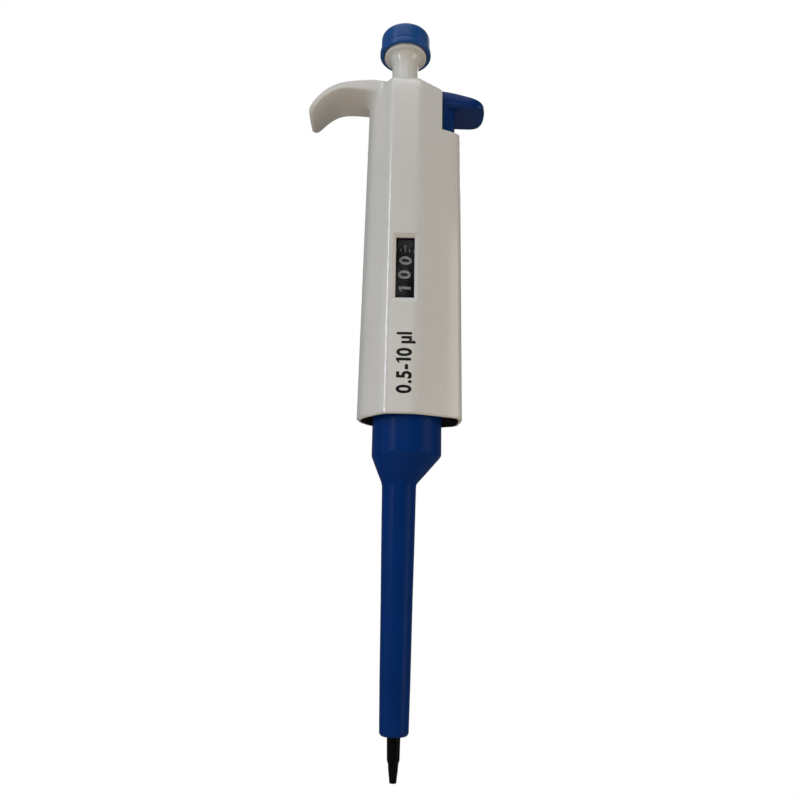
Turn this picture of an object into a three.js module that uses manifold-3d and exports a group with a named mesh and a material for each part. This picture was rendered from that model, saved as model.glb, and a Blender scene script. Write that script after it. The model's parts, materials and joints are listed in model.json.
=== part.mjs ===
// Adjustable air-displacement micropipette, 0.5 to 10 microlitres.
// Millimetres. +Z runs up the plunger axis from the end of the tip cone, which is the origin.
// -X is the finger hook's side, +X the tip ejector's side, and -Y the front, with the volume window.

import * as THREE from 'three';
import { mergeVertices } from 'three/addons/utils/BufferGeometryUtils.js';
import Module from 'manifold-3d';

const wasm = await Module();
wasm.setup();

// ---- Driving dimensions ----

const GAP = 0.3; // between neighbouring pieces
const STROKE = 8.0; // plunger travel at full volume
const BLOW_OUT = 2.6; // extra travel that clears the last drop
const NUT_TRAVEL = 7.6; // 9.5 turns of a 0.8 mm thread
const EJECT = 8.5; // travel of the tip ejector

const HOUSING_BOTTOM = 102.4;
const HOUSING_TOP = 217;
const HOUSING_WALL = 1.4;
const LEDGE_Z = 198.5; // floor of the ejector's notch
const NOTCH_X = 12.4; // the notch's inner side
const STEM_HOLE_R = 4.85;

const WINDOW = { x: 1.0, low: 138.8, high: 158.7, width: 5.8 };
const BEVEL = { low: 137.2, high: 161.5, width: 8.6, depth: 0.9 };

const DRUM_PITCH = 4.75;
const TENS_Z = 142.6; // middle of the lowest drum's number band
const DRUM_R = 8.8;
const DRUM_BORE_R = 4.2;
const BAND_HALF = 1.5; // half the height of a number band
const SPINDLE_R = 3.9;
const THREAD_R = 4.6;
const HEX_ROD_R = 2.05;
const HEX_BORE_R = 2.45;

const GEAR_MODULE = 0.55;
const RING_TEETH = 30;
const PINION_TEETH = 8;
const GEAR_DISTANCE = (GEAR_MODULE * (RING_TEETH + PINION_TEETH)) / 2;
const PINION_ANGLE = Math.PI / 6; // from +X towards the back
const PINION_AT = [GEAR_DISTANCE * Math.cos(PINION_ANGLE), GEAR_DISTANCE * Math.sin(PINION_ANGLE)];

const PLATE_LOW = [131, 134]; // counter frame's lower plate
const PLATE_HIGH = [160.3, 163.3]; // and its upper plate
const CHASSIS_R = 6.6;
const CHASSIS_BORE_R = 5.4;
const FRAME_SCREWS = [[-7.8, 2.2], [7.8, -2.2]];

const ROD_X = 14.9; // ejector rod
const ROD_R = 1.1;
const COLLAR_X = 2.4; // the ejector collar's middle
const COLLAR_R = 10.65;
const COLLAR_BORE_R = 9.45;
const COLLAR_TOP = 112;
const CARRIAGE = [COLLAR_TOP + 0.3, 120]; // carries the collar, and the rod through its arm
const ARM_LOW = 116;
const SLEEVE_END = 12.3;

const NUT = [178, 186]; // the stop nut at full volume, its lowest place
const BLOW_OUT_SPRING = [NUT[1] + 0.2, 197];
const STEM_FLANGE = BLOW_OUT_SPRING[1] + STROKE; // underside of the stem's flange at rest
const SPINDLE_TOP = STEM_FLANGE - STROKE - BLOW_OUT - 0.4;
const STEM_R = 4.45;
const DISC_R = 7.25;
const CAP_RIM_R = 8.8;
const CAP_R = 8.4;
const TOP = 240;

const HOOK_HALF_WIDTH = 8;
const HOOK_REST = { x: -18, z: 213.5 }; // middle of the flat land under the hook

// ---- Materials ----

const finish = (color, roughness, metalness = 0) =>
  new THREE.MeshStandardMaterial({ color, roughness, metalness });
const offWhite = finish(0xdcdad3, 0.35);
const white = finish(0xe8e6df, 0.35);
const blue = finish(0x123f8c, 0.35);
const darkBlue = finish(0x0a2a66, 0.3);
const black = finish(0x0b0b0c, 0.45);
const grey = finish(0x55585c, 0.5);
const steel = finish(0xb8bbbf, 0.3, 1);
const brass = finish(0xb08d4a, 0.35, 1);
const seal = finish(0x2b2b2b, 0.8);
const fluoropolymer = finish(0xf2f2ee, 0.6);
const clear = new THREE.MeshStandardMaterial({
  color: 0xe8f0f2, roughness: 0.05, transparent: true, opacity: 0.3,
});

// ---- Solids ----

/** A closed three.js geometry as a Manifold, with its faces pointing out. */
function solid(geometry) {
  const bare = new THREE.BufferGeometry();
  bare.setAttribute('position', geometry.getAttribute('position'));
  if (geometry.index) bare.setIndex(geometry.index);
  const merged = mergeVertices(bare, 1e-4);
  const points = merged.getAttribute('position');
  const index = merged.index.array;
  const corner = [new THREE.Vector3(), new THREE.Vector3(), new THREE.Vector3()];
  const triangles = [];
  let volume = 0;
  for (let i = 0; i < index.length; i += 3) {
    const [a, b, c] = [index[i], index[i + 1], index[i + 2]];
    if (a === b || b === c || c === a) continue;
    [a, b, c].forEach((v, k) => corner[k].fromBufferAttribute(points, v));
    volume += corner[0].dot(corner[1].cross(corner[2]));
    triangles.push(a, b, c);
  }
  if (volume < 0) triangles.reverse();
  return new wasm.Manifold(new wasm.Mesh({
    numProp: 3,
    vertProperties: new Float32Array(points.array),
    triVerts: new Uint32Array(triangles),
  }));
}

/** A solid of revolution from [radius, z] points. A profile that leaves the axis is closed on itself. */
function turned(profile, { segments = 20, at = [0, 0], shift = () => 0 } = {}) {
  const points = profile.map(([r, z]) => new THREE.Vector2(r, z));
  if (profile[0][0] > 0) points.push(points[0].clone());
  const geometry = new THREE.LatheGeometry(points, segments);
  geometry.rotateX(Math.PI / 2);
  const place = geometry.getAttribute('position');
  for (let i = 0; i < place.count; i += 1) {
    place.setX(i, place.getX(i) + at[0] + shift(place.getZ(i)));
    place.setY(i, place.getY(i) + at[1]);
  }
  return solid(geometry);
}

const rod = (r, low, high, options) => turned([[0, low], [r, low], [r, high], [0, high]], options);

const ring = (inner, outer, low, high, options) =>
  turned([[inner, low], [outer, low], [outer, high], [inner, high]], options);

/** An outline of Vector2 points, drawn up from one height to another. */
function prism(outline, low, high) {
  const options = { depth: high - low, bevelEnabled: false };
  const geometry = new THREE.ExtrudeGeometry(new THREE.Shape(outline), options);
  geometry.translate(0, 0, low);
  return solid(geometry);
}

/** A side view in X and Z, as a Shape, drawn out to the same distance in front of and behind the axis. */
function slab(shape, halfWidth, curveSegments = 6) {
  const options = { depth: 2 * halfWidth, bevelEnabled: false, curveSegments };
  const geometry = new THREE.ExtrudeGeometry(shape, options);
  geometry.rotateX(Math.PI / 2);
  geometry.translate(0, halfWidth, 0);
  return solid(geometry);
}

function block([x0, x1], [y0, y1], [z0, z1]) {
  const geometry = new THREE.BoxGeometry(x1 - x0, y1 - y0, z1 - z0);
  geometry.translate((x0 + x1) / 2, (y0 + y1) / 2, (z0 + z1) / 2);
  return solid(geometry);
}

/** A solid through horizontal convex outlines that all have the same number of points: [{ z, outline }]. */
function loft(sections) {
  const count = sections[0].outline.length;
  const place = sections.flatMap(({ z, outline }) => outline.flatMap((p) => [p.x, p.y, z]));
  const index = [];
  for (let level = 0; level + 1 < sections.length; level += 1) {
    for (let i = 0; i < count; i += 1) {
      const a = level * count + i;
      const b = level * count + ((i + 1) % count);
      index.push(a, b, b + count, a, b + count, a + count);
    }
  }
  const last = (sections.length - 1) * count;
  for (let i = 1; i + 1 < count; i += 1) index.push(0, i + 1, i, last, last + i, last + i + 1);
  const geometry = new THREE.BufferGeometry();
  geometry.setAttribute('position', new THREE.Float32BufferAttribute(place, 3));
  geometry.setIndex(index);
  return solid(geometry);
}

/** A convex outline from corners [x, y, radius], each corner rounded by a curve of three steps. */
function rounded(corners) {
  const outline = [];
  corners.forEach(([x, y, radius], i) => {
    const here = new THREE.Vector2(x, y);
    const [before, after] = [corners.at(i - 1), corners[(i + 1) % corners.length]].map(([px, py]) =>
      new THREE.Vector2(px, py).sub(here));
    const reach = (side) =>
      here.clone().addScaledVector(side.clone().normalize(), Math.min(radius, side.length() / 2));
    outline.push(...new THREE.QuadraticBezierCurve(reach(before), here, reach(after)).getPoints(3));
  });
  return outline.filter((p, i) => p.distanceTo(outline.at(i - 1)) > 0.01);
}

/** A counter-clockwise outline moved inwards. */
function inset(outline, distance) {
  return outline.map((p, i) => {
    const along = outline[(i + 1) % outline.length].clone().sub(outline.at(i - 1)).normalize();
    return new THREE.Vector2(p.x - along.y * distance, p.y + along.x * distance);
  });
}

class Helix extends THREE.Curve {
  constructor(radius, low, high, turns, [x, y]) {
    super();
    Object.assign(this, { radius, low, high, turns, x, y });
  }

  getPoint(t, target = new THREE.Vector3()) {
    const turn = 2 * Math.PI * this.turns * t;
    return target.set(
      this.x + this.radius * Math.cos(turn),
      this.y + this.radius * Math.sin(turn),
      this.low + (this.high - this.low) * t,
    );
  }
}

/** A coil spring between two seats, of round wire. */
function spring({ radius, wire, low, high, turns, at = [0, 0] }) {
  const path = new Helix(radius, low + wire / 2 + 0.1, high - wire / 2 - 0.1, turns, at);
  const section = new THREE.EllipseCurve(0, 0, wire / 2, wire / 2).getPoints(5).slice(0, 5);
  const options = { steps: turns * 8, extrudePath: path };
  return solid(new THREE.ExtrudeGeometry(new THREE.Shape(section), options));
}

/** A gear's outline, with a tooth centred on the given angle. Thin teeth leave the mesh its backlash. */
function gearOutline(teeth, toothAngle) {
  const pitchR = (GEAR_MODULE * teeth) / 2;
  const pitch = (2 * Math.PI) / teeth;
  const [rootR, tipR] = [pitchR - 1.15 * GEAR_MODULE, pitchR + 0.75 * GEAR_MODULE];
  const steps = [[-0.26, rootR], [-0.11, tipR], [0.11, tipR], [0.26, rootR]];
  return Array.from({ length: teeth }, (_, k) => k).flatMap((k) =>
    steps.map(([part, r]) => {
      const angle = toothAngle + (k + part) * pitch;
      return new THREE.Vector2(r * Math.cos(angle), r * Math.sin(angle));
    }));
}

const joined = (...solids) => solids.reduce((all, one) => all.add(one));
const cut = (from, ...tools) => tools.reduce((left, tool) => left.subtract(tool), from);

const pipette = new THREE.Group();

function part(name, manifold, material) {
  const { vertProperties, triVerts } = manifold.getMesh();
  const geometry = new THREE.BufferGeometry();
  geometry.setAttribute('position', new THREE.Float32BufferAttribute(vertProperties, 3));
  geometry.setIndex(Array.from(triVerts));
  geometry.computeVertexNormals();
  const mesh = new THREE.Mesh(geometry, material);
  mesh.name = name;
  pipette.add(mesh);
}

// ---- Housing with its finger hook ----

const HOUSING_CORNERS = [
  [19.35, 0, 4], [18.5, 6.6, 2.4], [5.0, 12.5, 2.5], [-4.6, 12.5, 2.5], [-11.3, 5.6, 3.5],
  [-13.45, 0, 5], [-11.3, -5.6, 3.5], [-4.6, -12.5, 2.5], [5.0, -12.5, 2.5], [18.5, -6.6, 2.4],
];
const housingOutline = rounded(HOUSING_CORNERS);

/** The housing narrows upwards, most on the hook's side. */
function housingSection(z, depth = 0) {
  const up = (z - 109) / 91;
  const narrow = ({ x, y }) =>
    new THREE.Vector2(x * (1 - (x < 0 ? 0.08 : 0.021) * up), y * (1 - 0.04 * up));
  return { z, outline: inset(housingOutline.map(narrow), depth) };
}

function hookShape() {
  const shape = new THREE.Shape();
  shape.moveTo(-5.5, HOUSING_TOP);
  shape.lineTo(-10, HOUSING_TOP);
  shape.bezierCurveTo(-16, HOUSING_TOP, -21.5, 217, -25.2, 214.6);
  shape.quadraticCurveTo(-30.6, 211.3, -32.2, 206.5);
  shape.quadraticCurveTo(-31.2, 205.5, -29.8, 206.4);
  shape.quadraticCurveTo(-27.2, 212.8, HOOK_REST.x - 3, HOOK_REST.z);
  shape.lineTo(HOOK_REST.x + 3, HOOK_REST.z);
  shape.quadraticCurveTo(-12.3, 213.2, -11.6, 207);
  shape.lineTo(-5.5, 206);
  return shape;
}

function housing() {
  const outer = loft([
    housingSection(HOUSING_BOTTOM, 0.35), housingSection(HOUSING_BOTTOM + 0.6), housingSection(160),
    housingSection(212.5), housingSection(214.8, 0.9), housingSection(216.3, 2.1),
    housingSection(HOUSING_TOP, 3.6),
  ]);
  // the top falls away towards the ejector
  const slopeCorners = [[6, HOUSING_TOP], [30, 207.6], [30, 230], [6, 230]];
  const slope = new THREE.Shape(slopeCorners.map((p) => new THREE.Vector2(...p)));
  const ledge = HOUSING_WALL + 0.4;
  const cavity = loft([
    housingSection(HOUSING_BOTTOM - 1, HOUSING_WALL - 0.3), housingSection(PLATE_HIGH[1] + GAP, HOUSING_WALL),
    housingSection(PLATE_HIGH[1] + GAP + 0.1, ledge), housingSection(166.5, ledge),
    housingSection(166.6, HOUSING_WALL), housingSection(LEDGE_Z + 1.6, HOUSING_WALL),
    housingSection(213.4, HOUSING_WALL + 0.8),
  ]);
  const innerWall = block([NOTCH_X - 1.3, NOTCH_X + 0.1], [-20, 20], [LEDGE_Z - 3, 220]);
  const [windowHalf, bevelHalf] = [WINDOW.width / 2, BEVEL.width / 2];
  return cut(
    joined(outer, slab(hookShape(), HOOK_HALF_WIDTH)),
    slab(slope, 20),
    cut(cavity, innerWall),
    block([NOTCH_X, 30], [-20, 20], [LEDGE_Z, 220]),
    rod(STEM_HOLE_R, 210, 220, { segments: 32 }),
    block([WINDOW.x - windowHalf, WINDOW.x + windowHalf], [-14, -9], [WINDOW.low, WINDOW.high]),
    windowBevel(windowHalf, bevelHalf),
  );
}

/** The sloping sides around the window, from the front face down to the opening. */
function windowBevel(windowHalf, bevelHalf) {
  const rectangle = (half, low, high) =>
    [[-half, low], [half, low], [half, high], [-half, high]]
      .map(([x, z]) => new THREE.Vector2(WINDOW.x + x, z));
  const front = -HOUSING_CORNERS[2][1];
  const sections = [
    { z: -(front + BEVEL.depth), outline: rectangle(windowHalf, WINDOW.low, WINDOW.high) },
    { z: -(front - 0.4), outline: rectangle(bevelHalf + 0.6, BEVEL.low - 0.9, BEVEL.high + 0.9) },
  ];
  return loft(sections).rotate([90, 0, 0]);
}

part('housing', housing(), offWhite);

part('window_lens', block(
  [WINDOW.x - 3.5, WINDOW.x + 3.5],
  [-10.5, -9.7],
  [WINDOW.low - 1.2, WINDOW.high + 1.2],
), clear);

// ---- Barrel and its seals ----

const BARREL_BORE_R = 2.8;
const PISTON_R = 0.63;
const SEAL_SEAT = 62;

part('barrel', turned([
  [0.4, 0], [1.0, 0], [1.06, 0.9], [1.37, 3.4], [1.45, 4.9], [1.79, 5.8], [1.88, 9.8], [1.95, 14.2],
  [2.6, 18], [3.2, 50], [3.6, 92.5], [3.8, 96.7], [5.6, 97], [5.6, 99.8], [BARREL_BORE_R, 99.8],
  [BARREL_BORE_R, SEAL_SEAT], [0.95, SEAL_SEAT], [0.95, 30], [0.4, 29],
], { segments: 24 }), black);
part('barrel_nut', turned([
  [4.15, 94], [6.3, 94], [6.6, 94.6], [6.6, 108], [5.9, 108], [5.9, 96.7], [4.15, 96.7],
]), grey);
part('piston_seal', ring(0.95, 2.5, SEAL_SEAT + GAP, 65, { segments: 16 }), fluoropolymer);
part('seal_o_ring', solid(new THREE.TorusGeometry(1.75, 0.5, 6, 16).translate(0, 0, 65.8)), seal);
part('seal_retainer', ring(0.95, 2.5, 66.6, 69.5, { segments: 16 }), steel);
part('piston_spring', spring({ radius: 2.0, wire: 0.45, low: 69.5, high: 92, turns: 9 }), steel);

// ---- Chassis and counter frame ----

part('chassis_tube', cut(turned([
  [2.6, 100.1], [5.6, 100.1], [5.6, 108.3], [CHASSIS_R, 108.3], [CHASSIS_R, 127.6], [9.0, 127.6],
  [9.0, 130.7], [CHASSIS_BORE_R, 130.7], [CHASSIS_BORE_R, 108.3], [2.6, 108.3],
], { segments: 24 }), ...FRAME_SCREWS.map((at) => rod(1.0, 126, 132, { at, segments: 12 }))), black);

function counterFrame() {
  const plate = ([low, high]) => loft([low, high].map((z) => housingSection(z, HOUSING_WALL + GAP)));
  const shell = cut(ring(9.3, 10.4, PLATE_LOW[1] - 0.1, PLATE_HIGH[0] + 0.1, { segments: 32 }),
    block([-20, 20], [-20, 4.6], [PLATE_LOW[0], PLATE_HIGH[1]]),
    block([3.5, 20], [-20, 20], [PLATE_LOW[0], PLATE_HIGH[1]]),
    block([-20, -5], [-20, 20], [PLATE_LOW[0], PLATE_HIGH[1]]));
  return cut(
    joined(plate(PLATE_LOW), plate(PLATE_HIGH), shell),
    rod(2.7, PLATE_LOW[0] - 1, PLATE_LOW[1] + 1, { segments: 16 }),
    rod(SPINDLE_R + GAP, PLATE_HIGH[0] - 1, PLATE_HIGH[1] + 1, { segments: 24 }),
    rod(ROD_R + 0.35, PLATE_LOW[0] - 1, PLATE_LOW[1] + 1, { at: [ROD_X, 0], segments: 12 }),
    rod(2.1, PLATE_HIGH[0] - 1, PLATE_HIGH[1] + 1, { at: [ROD_X, 0], segments: 16 }),
    rod(1.0, PLATE_LOW[1] - 1.5, PLATE_HIGH[0] + 1.5, { at: PINION_AT, segments: 12 }),
    ...FRAME_SCREWS.map((at) => rod(0.9, PLATE_LOW[0] - 1, PLATE_LOW[1] - 0.8, { at, segments: 12 })),
  );
}

part('counter_frame', counterFrame(), black);
FRAME_SCREWS.forEach((at, i) => {
  const profile = [[0, 125.9], [1.3, 125.9], [1.3, 127.3], [0.6, 127.3], [0.6, 132.6], [0, 132.6]];
  part(`frame_screw_${i + 1}`, turned(profile, { at, segments: 12 }), steel);
});
part('frame_retaining_ring', cut(
  loft([128.2, 130.7].map((z) => housingSection(z, HOUSING_WALL + GAP))),
  loft([128, 131].map((z) => housingSection(z, HOUSING_WALL + 1.2))),
), grey);
part('rod_guide_bush', ring(ROD_R + 0.25, 1.8, 160, 163.5, { at: [ROD_X, 0], segments: 12 }), brass);
const shaftSpan = [PLATE_LOW[1] - 1.2, PLATE_HIGH[0] + 1.2];
part('pinion_shaft', rod(0.7, ...shaftSpan, { at: PINION_AT, segments: 10 }), steel);
part('drum_spacer', ring(DRUM_BORE_R, 6, 134.3, 140.05), grey);
part('guide_tube', cut(
  ring(8.35, 9.4, PLATE_HIGH[1] + GAP, 200, { segments: 28 }),
  block([-12, -7], [-1.3, 1.3], [NUT[0] - 6, NUT[1] + NUT_TRAVEL + 4]),
), steel);
part('calibration_ring', ring(7.3, 9.4, 200.3, 203), brass);

// ---- Top bush ----

part('top_bush', turned([
  [4.75, 207.4], [7.6, 207.4], [7.6, 213], [4.75, 213],
  [4.75, 211.4], [5.7, 211.4], [5.7, 209.6], [4.75, 209.6],
], { segments: 24 }), black);
part('stem_friction_ring', solid(new THREE.TorusGeometry(5.1, 0.4, 6, 20).translate(0, 0, 210.5)), seal);

// ---- Plunger ----

part('pusher', turned([[0, 95.3], [2.2, 95.3], [2.2, 126.6], [5.0, 127.6], [5.0, 128.6], [0, 128.6]]), grey);
const ball = new THREE.SphereGeometry(1.1, 12, 8).rotateX(Math.PI / 2).translate(0, 0, 130.1);
part('thrust_ball', solid(ball), steel);
part('piston_head', turned([
  [0, 94.9], [2.2, 94.9], [2.45, 94.5], [2.45, 92], [0.95, 92], [0.95, 94], [0, 94],
], { segments: 16 }), grey);
part('piston', rod(PISTON_R, 44, 93.6, { segments: 12 }), steel);
part('main_return_spring', spring({ radius: 4.3, wire: 0.9, low: 108.4, high: 126.5, turns: 7 }), steel);

// ---- Knob ----

const hexRod = rod(HEX_ROD_R, 131.5, 228.6, { segments: 6 });
part('operating_rod', cut(hexRod, rod(1.2, 221, 229, { segments: 12 })), steel);
part('push_button', turned([
  [2.4, STEM_FLANGE], [6.6, STEM_FLANGE], [6.6, STEM_FLANGE + 2], [STEM_R, STEM_FLANGE + 2], [STEM_R, 226],
  [4.8, 230], [5.6, 230.8], [DISC_R - 0.2, 231], [DISC_R, 231.2], [DISC_R, 235.5], [2.7, 235.5], [2.7, 233],
  [1.3, 233], [1.3, 228.9], [2.4, 228.9],
], { segments: 28 }), white);
part('rod_screw', turned([
  [0, 222], [0.9, 222], [0.9, 233.3], [2.3, 233.3], [2.3, 235.2], [0, 235.2],
], { segments: 12 }), steel);
part('knob_cap', turned([
  [0, 235.9], [DISC_R + GAP, 235.9], [DISC_R + GAP, 231.8], [CAP_RIM_R - 0.3, 231.8], [CAP_RIM_R, 232.1],
  [CAP_RIM_R, 233.7], [CAP_R, 234.1], [CAP_R, 239.2], [CAP_R - 0.5, 239.8], [CAP_R - 1.3, TOP], [0, TOP],
], { segments: 32 }), blue);

// ---- Setting spindle and number drums ----

function settingSpindle() {
  const body = turned([
    [0, 134.3], [SPINDLE_R, 134.3], [SPINDLE_R, 163.6], [5.6, 163.7], [5.6, 165.4], [THREAD_R, 165.5],
    [THREAD_R, SPINDLE_TOP], [0, SPINDLE_TOP],
  ], { segments: 24 });
  return cut(body, rod(HEX_BORE_R, 130, 200, { segments: 6 }));
}

part('setting_spindle', settingSpindle(), steel);

/** A number drum: the band that carries the digits, its locking disc below and its 30-tooth ring above. */
function drum(middle, { geared }) {
  const lower = ring(DRUM_BORE_R, 7.4, middle - 2.2, middle - BAND_HALF + 0.1, { segments: 32 });
  const band = ring(DRUM_BORE_R, DRUM_R, middle - BAND_HALF, middle + BAND_HALF, { segments: 32 });
  if (!geared) return joined(lower, band);
  const toothAngle = PINION_ANGLE + Math.PI / RING_TEETH;
  const gear = prism(gearOutline(RING_TEETH, toothAngle), middle + BAND_HALF - 0.1, middle + 2.2);
  return joined(lower, band, cut(gear, rod(DRUM_BORE_R, middle, middle + 3, { segments: 32 })));
}

const [tensZ, unitsZ, tenthsZ, vernierZ] = [0, 1, 2, 3].map((k) => TENS_Z + k * DRUM_PITCH);
part('tens_drum', drum(tensZ, { geared: true }), black);
part('units_drum', drum(unitsZ, { geared: true }), black);
part('tenths_drum', drum(tenthsZ, { geared: false }), black);
part('vernier_drum', ring(DRUM_BORE_R, DRUM_R, vernierZ - 2.2, vernierZ + 2.2, { segments: 32 }), black);

for (const [name, below] of [['tens_pinion', tensZ], ['units_pinion', unitsZ]]) {
  const outline = gearOutline(PINION_TEETH, PINION_ANGLE + Math.PI);
  const gear = prism(outline, below + BAND_HALF + 0.2, below + DRUM_PITCH - BAND_HALF - 0.2);
  const bored = cut(gear, rod(0.95, 140, 160, { segments: 10 }));
  part(name, bored.translate([...PINION_AT, 0]), brass);
}

// ---- Stop nut ----

const nutBody = ring(THREAD_R + GAP, 8.0, ...NUT, { segments: 28 });
const nutKey = block([-9.2, -7.2], [-1, 1], [NUT[0] + 1, NUT[1] - 1]);
part('stop_nut', joined(nutBody, nutKey), brass);
part('blow_out_spring', spring({
  radius: 5.9, wire: 1.0, low: BLOW_OUT_SPRING[0], high: BLOW_OUT_SPRING[1], turns: 4,
}), steel);

// ---- Ejector ----

/** The thumb pad from the front. Pressed fully down, it stops 1.5 mm above the notch's floor. */
function padShape() {
  const under = LEDGE_Z + EJECT + 1.5;
  const shape = new THREE.Shape();
  shape.moveTo(13.0, under + 5.4);
  shape.lineTo(16, under + 5.3);
  shape.quadraticCurveTo(20, under + 3.9, 25.4, under + 2.7);
  shape.quadraticCurveTo(27, under + 2.2, 27, under + 1.3);
  shape.quadraticCurveTo(26.8, under + 0.1, 25, under);
  shape.lineTo(13.0, under);
  return shape;
}

function ejectorButton() {
  const padOutline = rounded([[27.2, -7, 6.5], [27.2, 7, 6.5], [10, 7, 0.2], [10, -7, 0.2]]);
  const pad = slab(padShape(), 10).intersect(prism(padOutline, 200, 220));
  const web = loft([190.5, 209].map((z) => housingSection(z, HOUSING_WALL + 0.45)))
    .intersect(block([NOTCH_X + 0.35, 17.0], [-10, 10], [180, 210]));
  return cut(joined(pad, web), rod(ROD_R + 0.3, 189, 196.6, { at: [ROD_X, 0], segments: 12 }));
}

part('ejector_button', ejectorButton(), darkBlue);
part('ejector_rod', rod(ROD_R, 114.2, 196.2, { at: [ROD_X, 0], segments: 12 }), steel);
const CLIP = [151, 152];
part('rod_clip', ring(ROD_R + 0.25, 2.15, ...CLIP, { at: [ROD_X, 0], segments: 12 }), steel);
part('ejector_spring', spring({
  radius: 1.85, wire: 0.5, low: PLATE_LOW[1], high: CLIP[0], turns: 8, at: [ROD_X, 0],
}), steel);

/** The sleeve's middle leans towards the ejector as it widens into the funnel. */
function sleeveShift(z) {
  const up = THREE.MathUtils.clamp((z - 83) / 9, 0, 1);
  return 0.3 * THREE.MathUtils.clamp(z / 80, 0, 1) + (COLLAR_X - 0.3) * up;
}

part('ejector_sleeve', turned([
  [2.4, SLEEVE_END], [4.0, SLEEVE_END], [4.2, SLEEVE_END + 0.5], [4.25, 16], [4.45, 27], [4.7, 49],
  [4.98, 66], [5.15, 80], [5.2, 83], [7.9, 87.2], [COLLAR_R, 91.6], [COLLAR_R, COLLAR_TOP],
  [COLLAR_BORE_R, COLLAR_TOP], [COLLAR_BORE_R, 92.8], [6.9, 88.4], [4.3, 84.2], [4.25, 80], [3.8, 49],
  [3.35, 18], [2.4, 14.2],
], { segments: 28, shift: sleeveShift }), blue);

function ejectorCarriage() {
  const at = [COLLAR_X, 0];
  const body = ring(COLLAR_BORE_R, COLLAR_R, ...CARRIAGE, { at, segments: 28 });
  const throughout = [COLLAR_TOP - 2, CARRIAGE[1] + 2];
  const arm = cut(
    block([11, 16.8], [-2.4, 2.4], [ARM_LOW, CARRIAGE[1]]),
    rod(COLLAR_BORE_R + 0.2, ...throughout, { at, segments: 28 }),
  );
  return cut(joined(body, arm), rod(ROD_R + 0.25, ...throughout, { at: [ROD_X, 0], segments: 12 }));
}

part('ejector_carriage', ejectorCarriage(), black);
part('rod_nut', ring(ROD_R + 0.2, 1.6, 113.6, 115.7, { at: [ROD_X, 0], segments: 6 }), steel);

export default pipette;
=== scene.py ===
"""Looks for the adjustable micropipette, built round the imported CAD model.

The shape code counts in millimetres, and MM turns them into metres. As in the CAD, +Z runs up the
plunger axis, -X is the finger hook's side, +X the ejector's side and -Y the front with the window.
"""

import json
import math

import bmesh
import bpy
from mathutils import Matrix, Vector


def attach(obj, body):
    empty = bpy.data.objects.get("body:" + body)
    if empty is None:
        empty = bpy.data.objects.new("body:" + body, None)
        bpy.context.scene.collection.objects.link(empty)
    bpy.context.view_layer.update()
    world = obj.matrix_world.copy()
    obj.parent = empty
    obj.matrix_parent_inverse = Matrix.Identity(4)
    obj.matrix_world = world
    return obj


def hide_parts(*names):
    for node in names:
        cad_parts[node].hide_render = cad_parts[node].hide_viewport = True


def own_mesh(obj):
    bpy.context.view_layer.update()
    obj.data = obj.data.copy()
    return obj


MM = 0.001

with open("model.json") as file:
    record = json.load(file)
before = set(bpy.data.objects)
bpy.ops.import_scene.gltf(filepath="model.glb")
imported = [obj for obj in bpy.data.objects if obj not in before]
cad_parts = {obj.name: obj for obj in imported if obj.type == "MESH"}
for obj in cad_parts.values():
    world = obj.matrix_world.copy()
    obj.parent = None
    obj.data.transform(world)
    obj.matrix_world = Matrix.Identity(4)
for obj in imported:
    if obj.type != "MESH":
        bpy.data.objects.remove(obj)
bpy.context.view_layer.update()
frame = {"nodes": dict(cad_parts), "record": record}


# ---- Measures taken over from the CAD ----

STROKE = 8.0
BLOW_OUT = 2.6
HOUSING_BOTTOM = 102.4
HOUSING_TOP = 217.0
HOUSING_WALL = 1.4
FRONT_Y = -12.5
LEDGE_Z = 198.5
NOTCH_X = 12.4
STEM_HOLE_R = 4.85
WINDOW = {"x": 1.0, "low": 138.8, "high": 158.7, "width": 5.8}
DRUM_R = 8.8
DRUM_PITCH = 4.75
TENS_Z = 142.6
ROD_X = 14.9
COLLAR_X = 2.4
HOUSING_CORNERS = [
    (19.35, 0, 4), (18.5, 6.6, 2.4), (5.0, 12.5, 2.5), (-4.6, 12.5, 2.5), (-11.3, 5.6, 3.5),
    (-13.45, 0, 5), (-11.3, -5.6, 3.5), (-4.6, -12.5, 2.5), (5.0, -12.5, 2.5), (18.5, -6.6, 2.4),
]


# ---- Mesh helpers ----

def finish_mesh(obj, sharp_from=32):
    """Welds the mesh, turns its faces outwards and keeps only edges above an angle sharp."""
    mesh = bmesh.new()
    mesh.from_mesh(obj.data)
    bmesh.ops.remove_doubles(mesh, verts=mesh.verts, dist=1e-7)
    bmesh.ops.recalc_face_normals(mesh, faces=mesh.faces)
    for face in mesh.faces:
        face.smooth = True
    for edge in mesh.edges:
        edge.smooth = len(edge.link_faces) == 2 and edge.calc_face_angle(0) < math.radians(sharp_from)
    mesh.to_mesh(obj.data)
    mesh.free()
    return obj


def mesh_object(name, points, faces, sharp_from=32):
    data = bpy.data.meshes.new(name)
    data.from_pydata([Vector(p) * MM for p in points], [], faces)
    obj = bpy.data.objects.new(name, data)
    bpy.context.scene.collection.objects.link(obj)
    return finish_mesh(obj, sharp_from)


def apply_modifiers(obj):
    bpy.context.view_layer.update()
    graph = bpy.context.evaluated_depsgraph_get()
    obj.data = bpy.data.meshes.new_from_object(obj.evaluated_get(graph))
    obj.modifiers.clear()
    return obj


def boolean(obj, tool, operation="DIFFERENCE"):
    modifier = obj.modifiers.new("boolean", "BOOLEAN")
    modifier.object = tool
    modifier.operation = operation
    modifier.solver = "EXACT"
    apply_modifiers(obj)
    bpy.data.objects.remove(tool)
    return obj


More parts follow.
